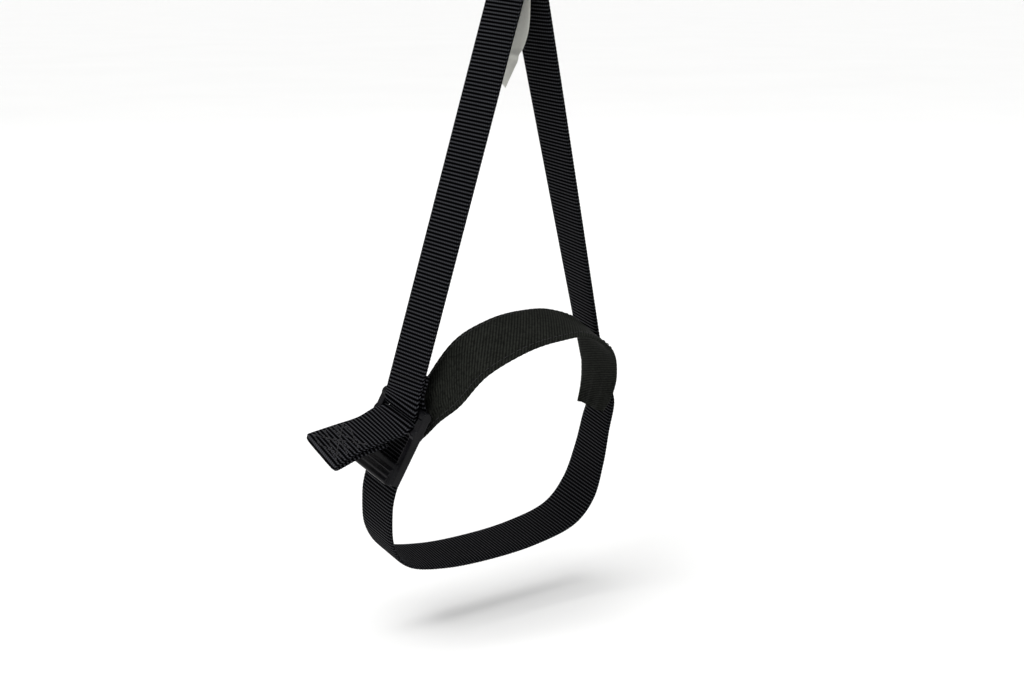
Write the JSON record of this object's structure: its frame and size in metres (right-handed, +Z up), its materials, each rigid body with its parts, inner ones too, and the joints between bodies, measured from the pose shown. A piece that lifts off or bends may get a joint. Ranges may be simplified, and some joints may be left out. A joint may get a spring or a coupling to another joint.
{
  "type": "ankle foot orthosis",
  "caption": "Soft strap-type ankle foot orthosis: a webbing foot loop with ladder-lock and pull tab, hung from a calf cuff by an elastic strap and swivel hook.",
  "frame": {"origin": "centre of the calf cuff's lower opening", "axes": "+Z up along the leg, -Y towards the toes, -X to the outer side of a right foot"},
  "size_m": [0.1319, 0.1462, 0.441],
  "materials": {
    "webbing": "black ribbed nylon webbing",
    "knit": "dark grey-green black fine knit",
    "padding": "charcoal brushed lining",
    "binding": "black grosgrain edge tape",
    "touch_tape": "black hook and loop tape",
    "elastic": "black woven elastic",
    "label": "off-white satin tape, blank",
    "plastic": "black moulded acetal",
    "steel": "nickel-plated steel"
  },
  "bodies": {
    "cuff": {"cuff_lining": "padding", "cuff_shell": "knit", "cuff_binding_bottom": "binding", "cuff_binding_top": "binding", "anchor_tab": "webbing", "chafe_tab": "webbing", "closure_ring": "steel", "closure_strap": "webbing", "hook_patch": "touch_tape"},
    "closure_tail": {"closure_tail": "webbing", "loop_patch": "touch_tape"},
    "d_ring": {"d_ring": "steel"},
    "hook": {"snap_hook": "steel", "gate_pin": "steel"},
    "gate": {"hook_gate": "steel"},
    "swivel": {"swivel_eye": "steel"},
    "lift": {"lift_loop": "elastic", "lift_elastic": "elastic"},
    "harness": {"lateral_riser": "webbing", "medial_riser": "webbing", "care_label": "label"},
    "foot_loop": {"lateral_riser_end": "webbing", "medial_riser_end": "webbing", "ladder_lock": "plastic", "stirrup_strap": "webbing", "instep_band": "knit"},
    "tab": {"pull_tab": "webbing", "tab_fold": "webbing"}
  },
  "joints": [
    {"name": "closure_peel", "type": "hinge", "parent": "cuff", "child": "closure_tail", "pos_m": [-0.0632, 0.00665, 0.04], "axis": [0, 0, 1], "range_deg": [0, 75]},
    {"name": "d_ring_swing", "type": "hinge", "parent": "cuff", "child": "d_ring", "pos_m": [0, -0.064, 0.002], "axis": [-1, 0, 0], "range_deg": [-4, 60]},
    {"name": "hook_swing", "type": "hinge", "parent": "d_ring", "child": "hook", "pos_m": [0, -0.064, -0.012], "axis": [-1, 0, 0], "range_deg": [-20, 20]},
    {"name": "gate_open", "type": "hinge", "parent": "hook", "child": "gate", "pos_m": [0, -0.0708, -0.026], "axis": [-1, 0, 0], "range_deg": [0, 24], "stiffness_Nm_per_rad": 0.05},
    {"name": "swivel_turn", "type": "hinge", "parent": "hook", "child": "swivel", "pos_m": [0, -0.064, -0.035], "axis": [0, 0, 1], "continuous": true},
    {"name": "strap_swing", "type": "hinge", "parent": "swivel", "child": "lift", "pos_m": [0, -0.064, -0.054], "axis": [0, 1, 0], "range_deg": [-30, 30]},
    {"name": "elastic_stretch", "type": "slide", "parent": "lift", "child": "harness", "axis": [0, 0, -1], "range_m": [0, 0.02], "stiffness_N_per_m": 400, "deforming": ["lift_elastic"]},
    {"name": "foot_pitch", "type": "hinge", "parent": "harness", "child": "foot_loop", "pos_m": [0, -0.0546, -0.276], "axis": [1, 0, 0], "range_deg": [-20, 20]},
    {"name": "tab_lift", "type": "hinge", "parent": "foot_loop", "child": "tab", "pos_m": [-0.04616, -0.05291, -0.29789], "axis": [0, 0.9703, 0.2421], "range_deg": [-15, 50]}
  ]
}
